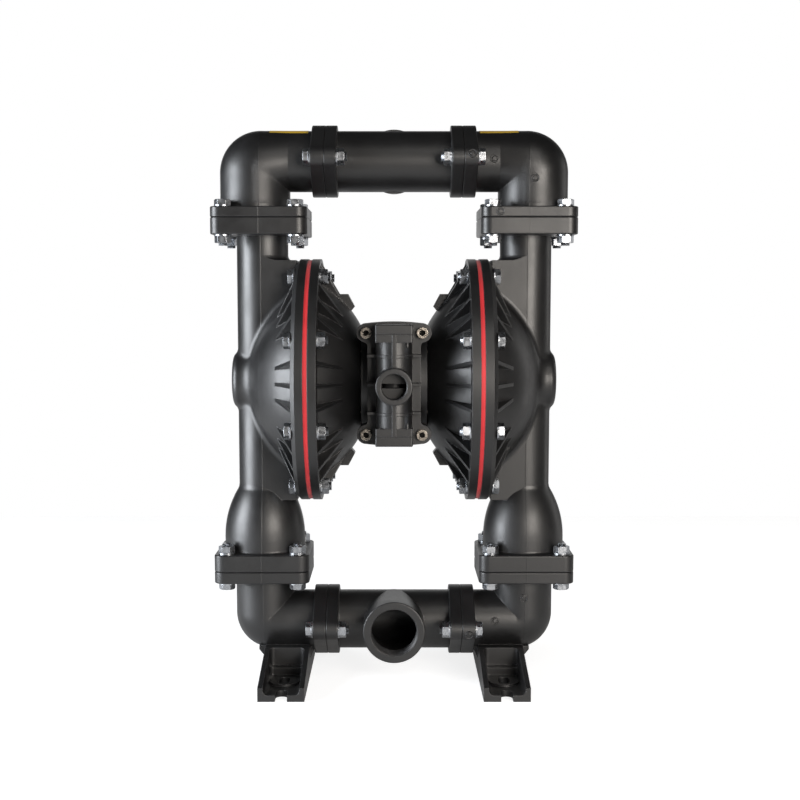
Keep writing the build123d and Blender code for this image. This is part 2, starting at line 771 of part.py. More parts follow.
def ring_groove(side):
    middle = (pipe_bore_radius + joint_flange_radius) / 2
    start = side * tee_half_length
    low, high = sorted((start, start - side * seal_section))
    return rod_x(middle + seal_section, low, high) - rod_x(middle - seal_section, low, high)


def joint_rings():
    middle = (pipe_bore_radius + joint_flange_radius) / 2
    ring = Rot(0, 90, 0) * Torus(middle, seal_section / 2)
    face = tee_half_length - seal_section / 2
    heights = (suction_axis, discharge_axis)
    return [Pos(x, 0, z) * ring for x in (-face, face) for z in heights]


# Middle block that carries the shaft, the pilot rod, the air valve and the exhaust
def valve_outline():
    """Narrow plate with four ears, slightly arched at the top and bottom."""
    ears = [Pos(x, z, 0) * Circle(valve_ear_radius) for x in (-valve_screw_x, valve_screw_x)
            for z in (-valve_screw_z, valve_screw_z)]
    top = valve_screw_z + valve_ear_radius
    arch = ThreePointArc((-valve_screw_x, top), (0, top + valve_arch), (valve_screw_x, top))
    sides = Polyline((valve_screw_x, top), (valve_screw_x, valve_screw_z), (-valve_screw_x, valve_screw_z),
                     (-valve_screw_x, top))
    crown = make_face([arch, *sides.edges()])
    outline = Rectangle(2 * valve_waist, 2 * valve_screw_z) + ears + [crown, mirror(crown, about=Plane.XZ)]
    inner_corners = [point for point in outline.vertices() if abs(point.Y) < valve_screw_z]
    return fillet(inner_corners, valve_ear_round)


def valve_screw_places(y):
    spots = [(x, z) for x in (-valve_screw_x, valve_screw_x) for z in (-valve_screw_z, valve_screw_z)]
    return [Pos(x, y, z) * Rot(90, 0, 0) for x, z in spots]


def centre_body():
    body = rod_x(centre_body_radius, -centre_body_half, centre_body_half)
    pad = plate_y(valve_outline(), -valve_face + pad_depth, pad_depth)
    pad &= block((-centre_body_half, centre_body_half), (-valve_face, 0), (-2 * valve_screw_z, 2 * valve_screw_z))
    neck = block((-valve_waist, valve_waist), (-valve_face + 1, 0), (-chest_half_height, chest_half_height))
    body += [pad, neck, rod_y(exhaust_boss_radius, 0, exhaust_face)]
    body -= rod_x(shaft_radius + hole_gap, -centre_body_half, centre_body_half)
    for side in (-1, 1):
        place = Rot(0, 90 - 90 * side, 0)
        end = centre_body_half
        body -= place * rod_x(shaft_radius + seal_wall, end - seal_length, end)
        body -= place * rod_x(shaft_radius + bushing_wall, end - seal_length - bushing_length, end)
        pilot = rod_x(pilot_radius + pilot_bushing_wall, end - pilot_bushing_length, end)
        body -= Pos(0, -pilot_offset, 0) * place * pilot
        body -= [place * hole * rod_x(socket_screw_radius + seat_gap, end - body_screw_length, end)
                 for hole in body_screw_places()]
        port = Pos(0, pilot_offset, 0) * place * rod_x(pilot_radius, 0, end)
        body -= port
    body -= Pos(0, -pilot_offset, 0) * rod_x(pilot_radius + pilot_gap, -centre_body_half, centre_body_half)
    body -= rod_y(exhaust_bore_radius, pilot_offset, exhaust_face)
    body -= [place * rod_z(socket_screw_radius + seat_gap, -valve_screw_length, 0)
             for place in valve_screw_places(-valve_face)]
    body -= rod_y(pilot_radius, -valve_face, -pilot_offset)
    return Pos(0, 0, shaft_height) * body


def shaft_bushing():
    start = centre_body_half - seal_length - bushing_length
    ring = rod_x(shaft_radius + bushing_wall, start, centre_body_half - seal_length)
    return Pos(0, 0, shaft_height) * (ring - rod_x(shaft_radius + shaft_gap, 0, air_cap_back))


def shaft_seal():
    start = centre_body_half - seal_length
    ring = rod_x(shaft_radius + seal_wall, start, centre_body_half)
    return Pos(0, 0, shaft_height) * (ring - rod_x(shaft_radius + shaft_gap, 0, air_cap_back))


def pilot_bushing():
    start = centre_body_half - pilot_bushing_length
    ring = rod_x(pilot_radius + pilot_bushing_wall, start, centre_body_half)
    ring -= rod_x(pilot_radius + shaft_gap, 0, air_cap_back)
    return Pos(0, -pilot_offset, shaft_height) * ring


def exhaust_muffler():
    tail = exhaust_face - muffler_thread
    shoulder = exhaust_face + muffler_neck
    end = shoulder + muffler_length
    body = rod_y(exhaust_bore_radius - seat_gap, tail, shoulder) + rod_y(muffler_radius, shoulder, end)
    slot = block((-muffler_slot_width / 2, muffler_slot_width / 2),
                 (shoulder + muffler_slot_inset, end - muffler_slot_inset),
                 (muffler_radius - muffler_slot_depth, muffler_radius + 1))
    body -= [Rot(0, 360 / muffler_slot_count * k, 0) * slot for k in range(muffler_slot_count)]
    body -= rod_y(exhaust_bore_radius - muffler_wall, tail, end - muffler_wall)
    return Pos(0, 0, shaft_height) * body


# Shaft assembly
inner_washer_face = diaphragm_inner - inner_washer_height
outer_washer_face = diaphragm_outer + outer_washer_height


def diaphragm_shaft():
    body = rod_x(shaft_radius, -inner_washer_face, inner_washer_face)
    for side in (-1, 1):
        low, high = sorted((side * inner_washer_face, side * (inner_washer_face - washer_bolt_depth)))
        body -= rod_x(washer_bolt_radius + seat_gap, low, high)
    return Pos(0, 0, shaft_height) * body


def inner_washer():
    bore = washer_bolt_radius + seat_gap
    ring = turned_x((inner_washer_face, bore), (inner_washer_face, clamp_radius - inner_washer_taper),
                    (diaphragm_inner - washer_edge, clamp_radius), (diaphragm_inner, clamp_radius),
                    (diaphragm_inner, bore))
    return Pos(0, 0, shaft_height) * ring


def outer_washer():
    bore = washer_bolt_radius + seat_gap
    ring = turned_x((diaphragm_outer, bore), (diaphragm_outer, clamp_radius),
                    (diaphragm_outer + washer_edge, clamp_radius),
                    (outer_washer_face, clamp_radius - outer_washer_taper), (outer_washer_face, bore))
    return Pos(0, 0, shaft_height) * ring


def washer_bolt():
    head = Pos(outer_washer_face, 0, 0) * Rot(0, 90, 0) * hex_bar(washer_bolt_hex, washer_bolt_head)
    shank = rod_x(washer_bolt_radius, inner_washer_face - washer_bolt_depth + washer_bolt_spare,
                  outer_washer_face)
    return Pos(0, 0, shaft_height) * (head + shank)


def pilot_rod():
    reach = inner_washer_face - stroke * (1 - pilot_ratio) - ball_gap
    return Pos(0, -pilot_offset, shaft_height) * rod_x(pilot_radius, -reach, reach)


# Air valve
block_face = valve_face + gasket
plate_front = block_face + valve_plate
cap_base = chest_half_height + gasket
end_front = chest_axis + chest_end_width / 2
end_back = plate_front + end_gap


def valve_gasket():
    sheet = plate_y(valve_outline(), -valve_face, gasket)
    sheet -= rod_y(pilot_radius, -block_face - 1, -valve_face + 1)
    sheet -= [place * rod_z(socket_screw_radius + seat_gap, -gasket - 1, 1)
              for place in valve_screw_places(-block_face)]
    return Pos(0, 0, shaft_height) * sheet


def end_square(back=end_back):
    """Square end of the valve chest, from the plate to the front."""
    outline = RectangleRounded(chest_end_width, end_front - back, end_corner)
    return Pos(0, -(end_front + back) / 2, 0) * outline


def valve_block():
    body = plate_y(valve_outline(), -block_face, valve_plate)
    chest = Pos(0, -chest_axis, 0) * rod_z(chest_radius, -chest_half_height, chest_half_height)
    back = block((-chest_radius, chest_radius), (-chest_axis, -block_face), (-chest_half_height, chest_half_height))
    body += [chest, back]
    for side in (-1, 1):
        low = chest_half_height - chest_end_height if side > 0 else -chest_half_height
        body += Pos(0, 0, low) * extrude(end_square(plate_front - end_corner), chest_end_height)
        rib_z = side * chest_rib_height
        body += block((-valve_waist, valve_waist), (-chest_axis, -block_face),
                      (rib_z - chest_rib / 2, rib_z + chest_rib / 2))
        band = rod_z(chest_radius + chest_rib_step, rib_z - chest_rib / 2, rib_z + chest_rib / 2)
        body += Pos(0, -chest_axis, 0) * band
    body += block((-valve_waist, valve_waist), (-chest_axis, -block_face), (-chest_rib / 2, chest_rib / 2))
    body += block((-front_rib / 2, front_rib / 2), (-chest_front - front_rib_step, -chest_axis),
                  (-chest_half_height, chest_half_height))
    inlet = rod_y(inlet_radius, -inlet_reach, -chest_axis)
    body += fillet(inlet.edges().sort_by(Axis.Y)[0], port_round)
    body -= rod_y(inlet_bore_radius, -inlet_reach, -inlet_reach + inlet_depth)
    body -= block((-inlet_slot_width / 2, inlet_slot_width / 2), (-inlet_reach + inlet_depth - 1, -chest_axis),
                  (-inlet_slot_height / 2, inlet_slot_height / 2))
    body -= Pos(0, -chest_axis, 0) * rod_z(spool_radius, -chest_half_height, chest_half_height)
    body -= rod_y(pilot_radius, -chest_axis, -block_face)
    body -= [place * rod_z(socket_screw_radius + screw_gap, -valve_plate - 1, 1)
             for place in valve_screw_places(-plate_front)]
    body -= [place * rod_z(cap_screw_radius + seat_gap, -cap_screw_length, 0)
             for place in cap_screw_places(chest_half_height)]
    return Pos(0, 0, shaft_height) * body


def cap_screw_places(height):
    """Corner places of the square ends, top and bottom, with the head side away from the middle."""
    half = chest_end_width / 2 - cap_screw_inset
    spots = [(x, y) for x in (-half, half) for y in (cap_screw_inset - end_front, -end_back - cap_screw_inset)]
    top = [Pos(x, y, height) for x, y in spots]
    bottom = [Pos(x, y, -height) * Rot(180, 0, 0) for x, y in spots]
    return top + bottom


def valve_cap():
    """Top end cap; the bottom one is the same piece turned over."""
    cap = Pos(0, 0, cap_base) * extrude(end_square(), cap_height)
    cap = chamfer(cap.edges().group_by(Axis.Z)[-1], end_corner / 2)
    head = rod_z(cap_screw_head, cap_height - cap_screw_sink, cap_height + 1)
    holes = [place * (rod_z(cap_screw_radius + screw_gap, -1, cap_height + 1) + head)
             for place in cap_screw_places(cap_base)[:4]]
    return cap - holes


def cap_gasket():
    sheet = Pos(0, 0, chest_half_height) * extrude(end_square(), gasket)
    sheet -= Pos(0, -chest_axis, 0) * rod_z(spool_radius, 0, cap_base)
    return sheet - [place * rod_z(cap_screw_radius + seat_gap, -1, gasket + 1)
                    for place in cap_screw_places(chest_half_height)[:4]]


def upside_down(shape):
    return mirror(shape, about=Plane.XY)


def on_valve(shape):
    return Pos(0, 0, shaft_height) * shape


def spool():
    low = -cap_base + ball_gap
    high = cap_base - ball_gap - spool_travel
    middle = (low + high) / 2
    radius = spool_radius - spool_gap
    body = rod_z(land_core, low, high)
    lands = [(low, low + land_length), (middle - land_length / 2, middle + land_length / 2),
             (high - land_length, high)]
    body += [rod_z(radius, start, end) for start, end in lands]
    grooves = []
    cups = []
    for start, end in lands:
        centre = (start + end) / 2
        limits = (centre - cup_height / 2, centre + cup_height / 2)
        core = rod_z(spool_radius - cup_depth, *limits)
        grooves.append(rod_z(spool_radius + 1, *limits) - core)
        cups.append(rod_z(spool_radius - shaft_gap, *limits) - core)
    place = Pos(0, -chest_axis, shaft_height)
    return place * (body - grooves), [place * cup for cup in cups]


# The four balls at rest on their seats
def ball_at(height):
    return Pos(column_x, 0, height + ball_rise) * Sphere(ball_radius)


# Written out piece by piece
# The outer cover is alike to front and back, so one casting turned half round serves the left side
cover = fluid_cap()
save("fluid_cap_right", cover)
save("fluid_cap_left", Rot(0, 0, 180) * cover)

right_parts = {
    "air_cap": air_cap(),
    "diaphragm": diaphragm(),
    "suction_elbow": suction_elbow(),
    "discharge_elbow": discharge_elbow(),
    "suction_seat": Pos(column_x, 0, suction_joint) * valve_seat(),
    "discharge_seat": Pos(column_x, 0, discharge_joint) * valve_seat(),
    "inner_washer": inner_washer(),
    "outer_washer": outer_washer(),
    "suction_ball": ball_at(suction_joint),
    "discharge_ball": ball_at(discharge_joint),
}
for name, shape in right_parts.items():
    save(f"{name}_right", shape)
    save(f"{name}_left", left_of(shape))

save("centre_body", centre_body())
save("suction_tee", suction_tee())
save("discharge_tee", discharge_tee())
save("seat_rings", *both_sides([Pos(column_x, 0, z) * seat_ring() for z in (suction_joint, discharge_joint)]))
save("manifold_joint_rings", *joint_rings())
save("air_cap_gaskets", *both_sides([air_cap_gasket()]))
save("shaft_bushings", *both_sides([shaft_bushing()]))
save("shaft_seals", *both_sides([shaft_seal()]))
save("pilot_bushings", *both_sides([pilot_bushing()]))
save("exhaust_muffler", exhaust_muffler())

save("diaphragm_shaft", diaphragm_shaft())
save("washer_bolts", *both_sides([washer_bolt()]))
save("pilot_rod", pilot_rod())

save("valve_block", valve_block())
save("valve_gasket", valve_gasket())
save("valve_cap_top", on_valve(valve_cap()))
save("valve_cap_bottom", on_valve(upside_down(valve_cap())))
save("valve_cap_gaskets", on_valve(cap_gasket()), on_valve(upside_down(cap_gasket())))
spool_body, spool_cups = spool()
save("valve_spool", spool_body)
save("spool_cups", *spool_cups)

# Screws of the valve block and its caps, and those inside the air caps
m8_screw = socket_screw(socket_screw_radius, socket_head_radius, socket_head_height, socket_key_width,
                        valve_screw_length)
m5_screw = socket_screw(cap_screw_radius, cap_screw_head - screw_gap, cap_screw_sink - screw_gap,
                        cap_screw_key, cap_screw_length)
m8_short = socket_screw(socket_screw_radius, socket_head_radius, socket_head_height, socket_key_width,
                        body_screw_length)
save("valve_block_screws", *[on_valve(place * m8_screw) for place in valve_screw_places(-plate_front)])
cap_screw_seat = cap_base + cap_height - cap_screw_sink
save("valve_cap_screws", *[on_valve(place * m5_screw) for place in cap_screw_places(cap_screw_seat)])
floor_x = air_cap_back + air_cap_wall
floor_screws = [place * Pos(floor_x, 0, 0) * Rot(0, 90, 0) * m8_short for place in body_screw_places()]
save("air_cap_screws", *both_sides([on_valve(screw) for screw in floor_screws]))

# Hexagon bolts of the chambers, the square flanges and the pipe joints
chamber_grip = air_cap_flange + diaphragm_thickness + fluid_cap_flange
chamber_places = [Pos(fluid_cap_back, 0, shaft_height) * around_x(angle, bolt_circle) * Rot(0, 90, 0)
                  for angle in chamber_bolt_angles]
rows = {
    "chamber": (chamber_grip, chamber_places),
    "suction_flange": (lower_cap_plate + lower_elbow_plate,
                       square_places(suction_joint - lower_elbow_plate, flip=180)),
    "discharge_flange": (upper_cap_plate + upper_elbow_plate,
                         square_places(discharge_joint + upper_elbow_plate)),
    "suction_joint": (tee_flange + elbow_flange, joint_places(suction_axis)),
    "discharge_joint": (tee_flange + elbow_flange, joint_places(discharge_axis)),
}
pipe_washers = []
for name, (grip, places) in rows.items():
    bolts, nuts, washers = fastener_sets(grip, places)
    save(f"{name}_bolts", *both_sides(bolts))
    save(f"{name}_nuts", *both_sides(nuts))
    if name.endswith("_joint"):
        pipe_washers += both_sides(washers)
    else:
        save(f"{name}_washers", *both_sides(washers))
save("joint_washers", *pipe_washers)
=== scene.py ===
# %% [markdown]
# # An air operated diaphragm pump
# The castings, fasteners and rubber discs of this pump are already solids, packed as one frame. This
# script dresses them: it gives every solid a finish, adds the small things that a casting carries, such
# as threads, ejector marks and a blank label, and lights the whole like a product picture. Everything
# is in metres, with the origin on the floor under the middle of the pump and +Y to the rear.

# %% Load the frame
import json
import math

import bmesh
import bpy
from mathutils import Matrix, Vector


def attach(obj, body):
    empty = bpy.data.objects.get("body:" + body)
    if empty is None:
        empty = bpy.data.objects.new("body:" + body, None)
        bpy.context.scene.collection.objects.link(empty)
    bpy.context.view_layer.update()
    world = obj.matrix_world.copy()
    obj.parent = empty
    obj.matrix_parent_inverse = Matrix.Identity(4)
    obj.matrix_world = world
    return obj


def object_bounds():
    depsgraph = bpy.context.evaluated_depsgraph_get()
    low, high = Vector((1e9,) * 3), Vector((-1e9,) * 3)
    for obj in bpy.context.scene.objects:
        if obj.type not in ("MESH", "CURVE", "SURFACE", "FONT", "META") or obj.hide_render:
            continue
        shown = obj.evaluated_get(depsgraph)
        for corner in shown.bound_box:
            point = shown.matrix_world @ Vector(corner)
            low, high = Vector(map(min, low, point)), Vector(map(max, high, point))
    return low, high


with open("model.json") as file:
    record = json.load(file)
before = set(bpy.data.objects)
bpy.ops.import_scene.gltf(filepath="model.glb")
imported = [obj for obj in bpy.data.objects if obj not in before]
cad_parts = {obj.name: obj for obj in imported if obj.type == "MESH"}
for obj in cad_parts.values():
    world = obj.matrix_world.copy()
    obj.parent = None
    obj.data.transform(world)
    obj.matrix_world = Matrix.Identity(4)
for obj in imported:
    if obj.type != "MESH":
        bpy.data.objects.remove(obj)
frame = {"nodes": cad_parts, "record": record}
cad_low, cad_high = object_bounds()
nodes = frame["nodes"]
SIDES = {"left": -1, "right": 1}
print("solids loaded:", len(nodes))

# %% [markdown]
# ## The camera
# The picture was taken a little above the middle of the pump, looking slightly down, with the lens
# shifted so that the uprights stay nearly parallel. A camera with the same distance, tilt and shift
# gives the same perspective. The numbers come from comparing known places on the pump with where they
# stand in the picture. The two shifts keep the pump where the picture has it in a square frame.

# %% Camera
CAMERA_PLACE = (0.0, -1.6536, 0.4599)
CAMERA_TILT = math.radians(90 - 5.87)
LENS_MM = 60.975
SHIFT = (0.0074, 0.0480)

camera_data = bpy.data.cameras.new("camera")
camera_data.lens = LENS_MM
camera_data.sensor_width = 36.0
camera_data.shift_x, camera_data.shift_y = SHIFT
camera = bpy.data.objects.new("camera", camera_data)
camera.location = CAMERA_PLACE
camera.rotation_euler = (CAMERA_TILT, 0, 0)
bpy.context.scene.collection.objects.link(camera)
bpy.context.scene.camera = camera

# %% [markdown]
# ## Small tools for node trees
# A material here is a Principled shader fed by node groups. A group is an effect that several finishes
# share, built once, with named inputs, so that each finish can place it with its own values. These
# helpers make a group, put one into a material and join sockets by name.

# %% Node helpers
def new_group(name, inputs, outputs):
    """Empty shader group with its sockets; inputs are (name, kind, value), outputs (name, kind)."""
    group = bpy.data.node_groups.new(name, "ShaderNodeTree")
    for title, kind, value in inputs:
        socket = group.interface.new_socket(title, in_out="INPUT", socket_type=kind)
        if value is not None:
            socket.default_value = value
    for title, kind in outputs:
        group.interface.new_socket(title, in_out="OUTPUT", socket_type=kind)
    entry = group.nodes.new("NodeGroupInput")
    leave = group.nodes.new("NodeGroupOutput")
    return group, entry, leave


def put(tree, kind, values=None, **settings):
    """New node with its settings and input values; a value may be another node's socket."""
    node = tree.nodes.new(kind)
    for key, value in settings.items():
        setattr(node, key, value)
    for key, value in (values or {}).items():
        socket = node.inputs[key]
        if isinstance(value, bpy.types.NodeSocket):
            tree.links.new(value, socket)
        else:
            socket.default_value = value
    return node


def math_node(tree, operation, *values, clamp=False):
    node = put(tree, "ShaderNodeMath", dict(enumerate(values)), operation=operation, use_clamp=clamp)
    return node.outputs[0]


def mix_colour(tree, factor, first, second):
    return put(tree, "ShaderNodeMix", {0: factor, 6: first, 7: second}, data_type="RGBA").outputs[2]


def map_range(tree, value, low, high, to_low, to_high):
    values = {"Value": value, "From Min": low, "From Max": high, "To Min": to_low, "To Max": to_high}
    return put(tree, "ShaderNodeMapRange", values).outputs["Result"]


def new_material(name):
    material = bpy.data.materials.new(name)
    material.use_nodes = True
    tree = material.node_tree
    place = tree.nodes.new("ShaderNodeTexCoord").outputs["Object"]
    return material, tree, tree.nodes["Principled BSDF"], place


def use_group(tree, group, values):
    return put(tree, "ShaderNodeGroup", values, node_tree=group)


def mirrored_gap(tree, value, centre):
    """How far a value is from the nearer of plus and minus centre."""
    gap = math_node(tree, "SUBTRACT", math_node(tree, "ABSOLUTE", value), centre)
    return math_node(tree, "ABSOLUTE", gap)


def wire_surface(tree, shader, colour, roughness, height, normal, distance, strength=1.0):
    """Join colour, roughness and a normal raised by a height to the shader."""
    bump = put(tree, "ShaderNodeBump", {
        "Strength": strength, "Distance": distance, "Height": height, "Normal": normal})
    for value, name in ((colour, "Base Color"), (roughness, "Roughness"), (bump.outputs[0], "Normal")):
        tree.links.new(value, shader.inputs[name])


def seen_rays(tree):
    """Two masks of the rays that show the background: camera rays, and mirror or glass rays."""
    path = tree.nodes.new("ShaderNodeLightPath")
    glossy, through = path.outputs["Is Glossy Ray"], path.outputs["Is Transmission Ray"]
    return path.outputs["Is Camera Ray"], math_node(tree, "MAXIMUM", glossy, through)


# %% [markdown]
# ## Light
# The highlights on the pipes tell where the lamps of the picture stood. A tall cool strip stood almost
# straight to the left, which draws the brightest band down every pipe, and a wide warm box stood to the
# right of the camera, which draws the second, softer band. Next to nothing came from above, and the
# right side got only a little light from behind. Area lamps do the same here. Satin black shows almost
# nothing but such mirrored lamps, so their place and width matter more than their power.

# %% Lamps
MIDDLE = Vector((0.0, 0.0, 0.33))
# Each lamp as (name, place, width and height, power in watts, colour), all turned to the middle
LAMPS = [
    ("left_strip", (-1.47, -0.5, 0.42), (0.8, 1.2), 40.0, (0.91, 0.95, 1.0)),
    ("right_box", (0.92, -1.89, 0.6), (1.05, 0.75), 30.0, (1.0, 0.94, 0.87)),
    ("top_soft", (0.51, -1.41, 1.7), (0.7, 0.5), 3.5, (1.0, 0.97, 0.93)),
    ("rear_rim", (1.45, 0.68, 0.5), (0.5, 1.2), 2.0, (1.0, 0.98, 0.96)),
]

for name, place, size, watts, colour in LAMPS:
    data = bpy.data.lights.new(name, "AREA")
    data.shape = "RECTANGLE"
    data.size, data.size_y = size
    data.energy = watts
    data.color = colour
    lamp = bpy.data.objects.new(name, data)
    lamp.location = place
    lamp.rotation_euler = (MIDDLE - Vector(place)).to_track_quat("-Z", "Y").to_euler()
    bpy.context.scene.collection.objects.link(lamp)
print("lamps:", [name for name, *_ in LAMPS])

# %% [markdown]
# ## Background
# Behind and below the pump all is white, yet black castings must not be flooded by it. So the world is
# white where the camera looks at it and where a mirror ray runs nearly straight to the rear, dim for
# other mirror rays, as a studio is behind the camera, and even and weak where it only fills shadows. The
# floor is a pale square. The camera sees its full glow and mirror rays see a share of it, and it keeps
# the pump's shadow.

# %% World and floor
WORLD_FILL = 0.14
STUDIO_FRONT = 0.03
BACKDROP_EDGE = (0.8, 1.0)

world = bpy.data.worlds.new("studio")
bpy.context.scene.world = world
world.use_nodes = True
world_tree = world.node_tree
background = world_tree.nodes["Background"]
background.inputs["Color"].default_value = (1, 1, 1, 1)
to_camera, to_mirror = seen_rays(world_tree)
heading = world_tree.nodes.new("ShaderNodeTexCoord").outputs["Generated"]
heading_y = put(world_tree, "ShaderNodeSeparateXYZ", {"Vector": heading}).outputs["Y"]
mirrored = map_range(world_tree, heading_y, *BACKDROP_EDGE, STUDIO_FRONT, 1.0)
unseen = put(world_tree, "ShaderNodeMix", {0: to_mirror, 2: WORLD_FILL, 3: mirrored}, data_type="FLOAT")
strength = math_node(world_tree, "MAXIMUM", to_camera, unseen.outputs[0])
world_tree.links.new(strength, background.inputs["Strength"])

FLOOR_HALF = 1.2
FLOOR_GLOW = 0.8
FLOOR_MIRRORED = 0.2
FLOOR_GREY = (0.6, 0.6, 0.6, 1)
FLOOR_ROUGH = 0.9

floor_bm = bmesh.new()
bmesh.ops.create_grid(floor_bm, x_segments=1, y_segments=1, size=FLOOR_HALF)
floor_mesh = bpy.data.meshes.new("floor")
floor_bm.to_mesh(floor_mesh)
floor_bm.free()
floor = bpy.data.objects.new("floor", floor_mesh)
bpy.context.scene.collection.objects.link(floor)
floor_material = bpy.data.materials.new("white_sweep")
floor_material.use_nodes = True
floor_tree = floor_material.node_tree
floor_shader = floor_tree.nodes["Principled BSDF"]
floor_shader.inputs["Base Color"].default_value = FLOOR_GREY
floor_shader.inputs["Roughness"].default_value = FLOOR_ROUGH
floor_shader.inputs["Emission Color"].default_value = (1, 1, 1, 1)
to_camera, to_mirror = seen_rays(floor_tree)
mirrored = math_node(floor_tree, "MULTIPLY", to_mirror, FLOOR_MIRRORED)
seen = math_node(floor_tree, "MAXIMUM", to_camera, mirrored)
glow = math_node(floor_tree, "MULTIPLY", seen, FLOOR_GLOW)
floor_tree.links.new(glow, floor_shader.inputs["Emission Strength"])
floor_mesh.materials.append(floor_material)

# %% [markdown]
# ## Effects that the finishes share
# A casting never has a razor edge: the mould rounds it and the coat rounds it again. The Bevel node
# bends the shading normal near an edge as if it were rounded, which catches the thin bright line that
# edges show in the picture. How far that normal turns from the true one also tells where edges are,
# and there the coat is painted a little brighter: partly wear from handling, partly a painted highlight.

# %% Group: soft edges
BEVEL_SAMPLES = 6
EDGE_STARTS = 0.995
EDGE_FULL = 0.8

soft_edges, entry, leave = new_group(
    "soft_edges",
    [("Radius", "NodeSocketFloat", 0.001)],
    [("Normal", "NodeSocketVector"), ("Edge", "NodeSocketFloat")])
bevel = put(soft_edges, "ShaderNodeBevel", {"Radius": entry.outputs["Radius"]}, samples=BEVEL_SAMPLES)
true_normal = soft_edges.nodes.new("ShaderNodeNewGeometry").outputs["Normal"]
turn = put(soft_edges, "ShaderNodeVectorMath", {0: bevel.outputs[0], 1: true_normal},
           operation="DOT_PRODUCT")
edge = map_range(soft_edges, turn.outputs["Value"], EDGE_STARTS, EDGE_FULL, 0.0, 1.0)
soft_edges.links.new(bevel.outputs[0], leave.inputs["Normal"])
soft_edges.links.new(edge, leave.inputs["Edge"])

# %% [markdown]
# The coat over the cast skin has three scales: the slow waviness of the casting, the stipple of the
# coat, and patches that are a little more or less shiny. Noise at three sizes gives them, and the group
# returns colour, roughness and height, so that each material can bump its own normal with it.

# %% Group: cast skin
STIPPLE_SCALE = 900.0
WAVE_SCALE = 55.0
PATCH_SCALE = 18.0
GRAIN_ROUGH = 0.04
PATCH_SHADES = (0.85, 1.18)
STIPPLE_SHARE = 0.35

cast_skin, entry, leave = new_group(
    "cast_skin",
    [("Place", "NodeSocketVector", None), ("Coat", "NodeSocketColor", (0.02, 0.02, 0.02, 1)),
     ("Wear And Highlight", "NodeSocketColor", (0.1, 0.1, 0.1, 1)), ("Edge", "NodeSocketFloat", 0.0),
     ("Roughness", "NodeSocketFloat", 0.4), ("Stipple Size", "NodeSocketFloat", STIPPLE_SCALE),
     ("Unevenness", "NodeSocketFloat", 0.06)],
    [("Colour", "NodeSocketColor"), ("Roughness", "NodeSocketFloat"), ("Height", "NodeSocketFloat")])
spot = entry.outputs["Place"]
stipple = put(cast_skin, "ShaderNodeTexNoise",
              {"Vector": spot, "Scale": entry.outputs["Stipple Size"], "Detail": 3.0, "Roughness": 0.6})
wave = put(cast_skin, "ShaderNodeTexNoise", {"Vector": spot, "Scale": WAVE_SCALE, "Detail": 2.0})
patch = put(cast_skin, "ShaderNodeTexNoise",
            {"Vector": spot, "Scale": PATCH_SCALE, "Detail": 5.0, "Roughness": 0.65})
patch_range = map_range(cast_skin, patch.outputs[0], 0.35, 0.65, -1.0, 1.0)
uneven = math_node(cast_skin, "MULTIPLY", patch_range, entry.outputs["Unevenness"])
grain = map_range(cast_skin, stipple.outputs[0], 0.3, 0.7, -GRAIN_ROUGH, GRAIN_ROUGH)
rough = math_node(cast_skin, "ADD", entry.outputs["Roughness"], uneven)
rough = math_node(cast_skin, "ADD", rough, grain, clamp=True)
broken = map_range(cast_skin, stipple.outputs[0], 0.45, 0.62, 0.0, 1.0)
# Edges turn towards the edge colour: partly real wear, partly a painted highlight along the edge
edge_wear_and_highlight = math_node(cast_skin, "MULTIPLY", entry.outputs["Edge"], broken, clamp=True)
shade = map_range(cast_skin, patch.outputs[0], 0.3, 0.7, *PATCH_SHADES)
tinted = put(cast_skin, "ShaderNodeVectorMath", {0: entry.outputs["Coat"]}, operation="SCALE")
cast_skin.links.new(shade, tinted.inputs["Scale"])
coat = mix_colour(cast_skin, edge_wear_and_highlight, tinted.outputs[0], entry.outputs["Wear And Highlight"])
fine = math_node(cast_skin, "MULTIPLY", stipple.outputs[0], STIPPLE_SHARE)
height = math_node(cast_skin, "ADD", fine, wave.outputs[0])
cast_skin.links.new(coat, leave.inputs["Colour"])
cast_skin.links.new(rough, leave.inputs["Roughness"])
cast_skin.links.new(height, leave.inputs["Height"])

# %% [markdown]
# Where the two halves of a mould met, a fine seam stays on the casting. On the covers and elbows of
# this pump it runs down the front of the pipes, in the plane through their middle. A narrow peak of the
# distance to that plane raises it, which follows every curve of the casting without any new geometry.

# %% Group: parting seam
SEAM_HALF = 0.0007

parting_seam, entry, leave = new_group(
    "parting_seam",
    [("Place", "NodeSocketVector", None), ("Plane X", "NodeSocketFloat", 0.159)],
    [("Height", "NodeSocketFloat")])
across = put(parting_seam, "ShaderNodeSeparateXYZ", {"Vector": entry.outputs["Place"]}).outputs["X"]
away = mirrored_gap(parting_seam, across, entry.outputs["Plane X"])
ridge = map_range(parting_seam, away, 0.0, SEAM_HALF, 1.0, 0.0)
parting_seam.links.new(ridge, leave.inputs["Height"])

# %% [markdown]
# The upper elbows turn from the wide valve chamber into the narrower pipe. In the solid the two meet in
# an upright crease at the crest of the bend, which the real casting doesn't have there. Near that plane,
# and above the square flange only, the radius of the soft edges grows, so that the crease is shaded as a
# wide blend.

# %% Group: crest blend
CREST_RADIUS = 0.014
CREST_REACH = (0.006, 0.026)
FLANGE_TOP = 0.572

